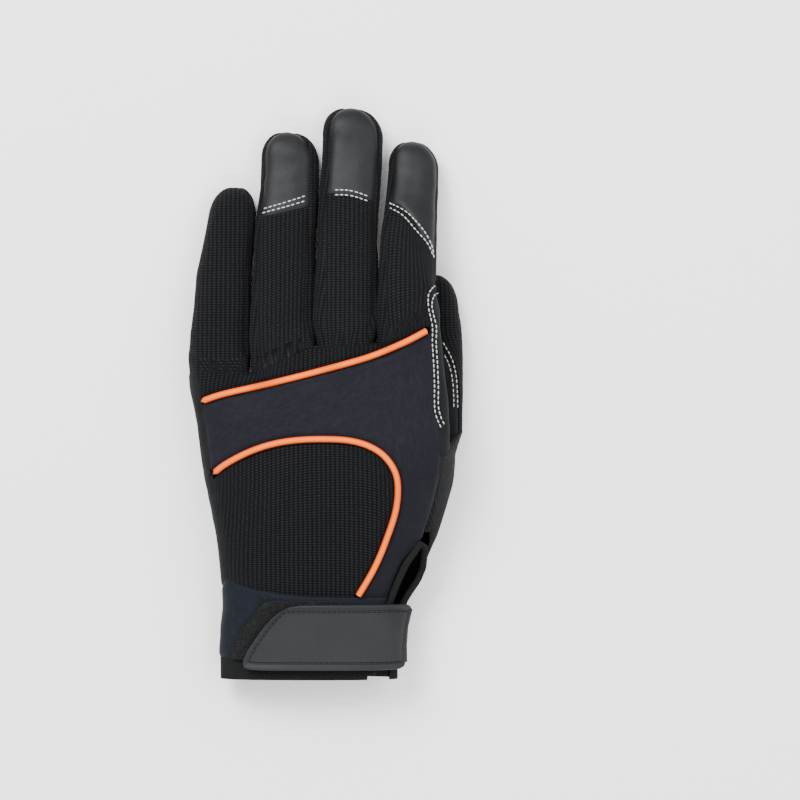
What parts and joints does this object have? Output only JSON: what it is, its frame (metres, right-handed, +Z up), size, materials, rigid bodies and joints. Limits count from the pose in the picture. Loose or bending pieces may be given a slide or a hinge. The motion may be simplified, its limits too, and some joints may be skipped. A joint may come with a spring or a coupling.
{
  "type": "mechanic glove",
  "caption": "Padded work glove for the left hand: ribbed knit back, piped neoprene band, suede palm, leather fingertips, cuff with a rubber closing tab.",
  "frame": {"origin": "centre of the bounding box's footprint, on the surface that the glove lies on", "axes": "+Y from the cuff to the fingertips, +X to the thumb side, +Z up out of the back of the hand; the palm faces down"},
  "size_m": [0.1198, 0.2484, 0.0426],
  "materials": {
    "knit": "ribbed stretch knit, near black with grey specks",
    "neoprene": "smooth dark blue-grey neoprene with a jersey face",
    "cuff": "navy neoprene with a jersey face",
    "suede": "matt synthetic suede",
    "leather": "smooth soft leather with a fine grain",
    "pad": "smooth soft leather, padded and stitched",
    "piping": "orange satin piping",
    "binding": "black woven binding tape",
    "loop": "black fuzzy loop patch",
    "tab": "matt grey moulded rubber"
  },
  "bodies": {
    "root": {"back_band": "neoprene", "back_knit": "knit", "back_knit_lower": "knit", "cuff_band": "cuff", "fourchette_middle_index": "knit", "fourchette_pinky_ring": "knit", "fourchette_ring_middle": "knit", "hem_binding": "binding", "loop_pad": "loop", "pad_heel": "pad", "pad_inner": "pad", "pad_knuckle": "pad", "palm_panel": "suede", "piping_lower": "piping", "piping_upper": "piping", "saddle_patch": "suede", "side_strip_index": "suede", "slit_binding": "binding", "strap": "binding", "strap_tab": "tab", "thumb_back": "knit", "thumb_front": "suede", "thumb_tip": "leather", "tip_cap_index": "leather", "tip_cap_middle": "leather", "tip_cap_ring": "leather", "tip_patch_pinky": "leather", "ulnar_strip": "suede"}
  },
  "joints": []
}
